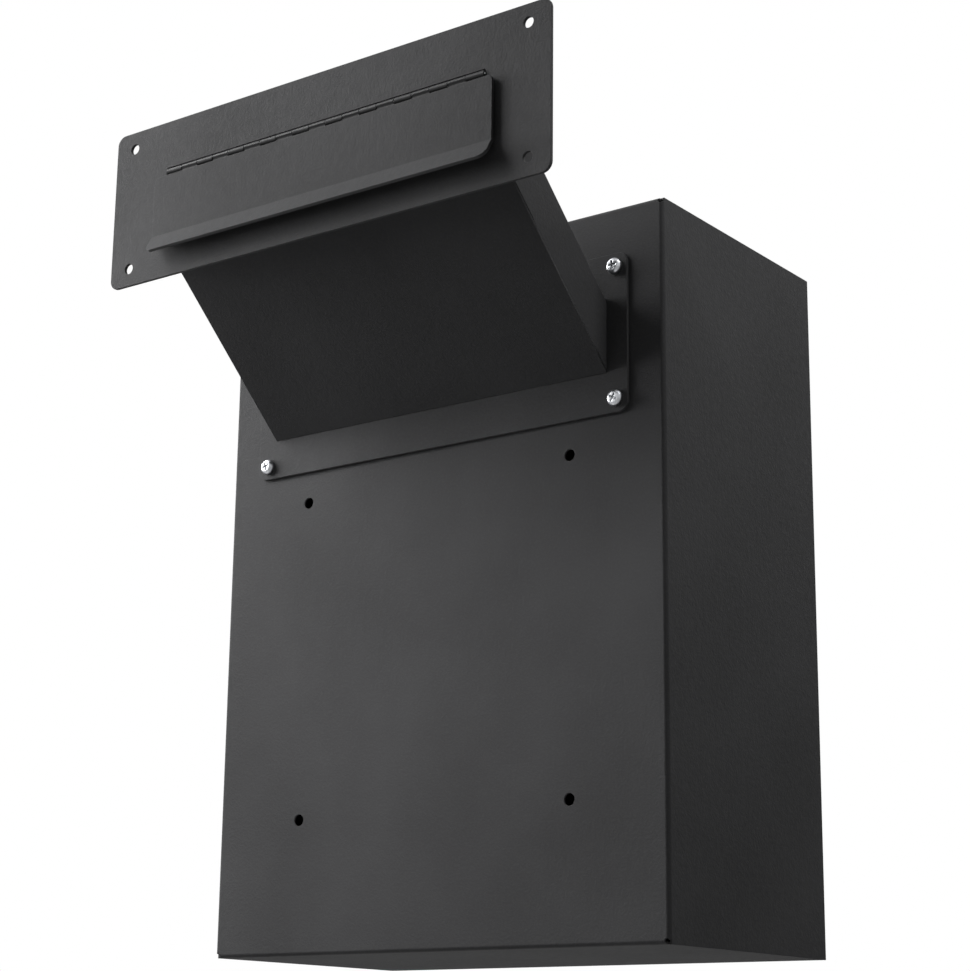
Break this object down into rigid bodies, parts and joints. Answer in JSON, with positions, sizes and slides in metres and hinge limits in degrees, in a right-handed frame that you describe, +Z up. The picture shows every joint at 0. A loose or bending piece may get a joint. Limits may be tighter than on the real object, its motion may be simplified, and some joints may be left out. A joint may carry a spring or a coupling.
{
  "type": "through-the-wall drop box",
  "caption": "Wall-hung steel drop box with a slanted, adjustable chute through the wall, an outside faceplate with a hinged flap, and a locking door on the room side.",
  "frame": {"origin": "centre of the four wall-bolt holes, on the face that lies against the inside of the wall", "axes": "+X to the right for someone outside who faces the wall, +Y from the wall into the room, +Z up"},
  "size_m": [0.3302, 0.3021, 0.498],
  "materials": {
    "black_powder_coat": "fine-textured black powder coat",
    "hinge_black": "black powder coat over steel hinge strip",
    "zinc_screws": "bright zinc plate",
    "zinc_plate": "clear zinc plate",
    "hinge_pin_steel": "drawn steel wire",
    "lock_chrome": "satin chrome on die-cast zinc"
  },
  "bodies": {
    "box": {"box_body": "black_powder_coat", "door_frame": "black_powder_coat", "chute_flange": "black_powder_coat", "chute_hood": "black_powder_coat", "chute_floor": "black_powder_coat", "flange_screws": "zinc_screws", "flange_washers": "zinc_plate", "flange_nuts": "zinc_plate", "door_hinge_frame_leaf": "hinge_black", "door_hinge_pin": "hinge_pin_steel"},
    "faceplate": {"faceplate": "black_powder_coat", "chute_sleeve": "black_powder_coat", "flap_hinge_fixed_leaf": "hinge_black", "flap_hinge_pin": "hinge_pin_steel"},
    "flap": {"flap": "black_powder_coat", "flap_hinge_moving_leaf": "hinge_black"},
    "door": {"door_panel": "black_powder_coat", "door_hinge_door_leaf": "hinge_black", "lock_housing": "lock_chrome", "lock_nut": "zinc_plate"},
    "lock": {"lock_plug": "lock_chrome", "lock_cam": "zinc_plate", "cam_washer": "zinc_plate", "cam_screw": "zinc_plate"}
  },
  "joints": [
    {"name": "chute_slide", "type": "slide", "parent": "box", "child": "faceplate", "axis": [0, -0.7337, 0.6794], "range_m": [0, 0.104]},
    {"name": "flap_swing", "type": "hinge", "parent": "faceplate", "child": "flap", "pos_m": [0, -0.1143, 0.28626], "axis": [-1, 0, 0], "range_deg": [0, 100]},
    {"name": "door_swing", "type": "hinge", "parent": "box", "child": "door", "pos_m": [-0.1589, 0.175, 0.03215], "axis": [0, 0, 1], "range_deg": [0, 180]},
    {"name": "lock_turn", "type": "hinge", "parent": "door", "child": "lock", "pos_m": [0.1325, 0.1725, 0.03215], "axis": [0, -1, 0], "range_deg": [0, 90]}
  ]
}
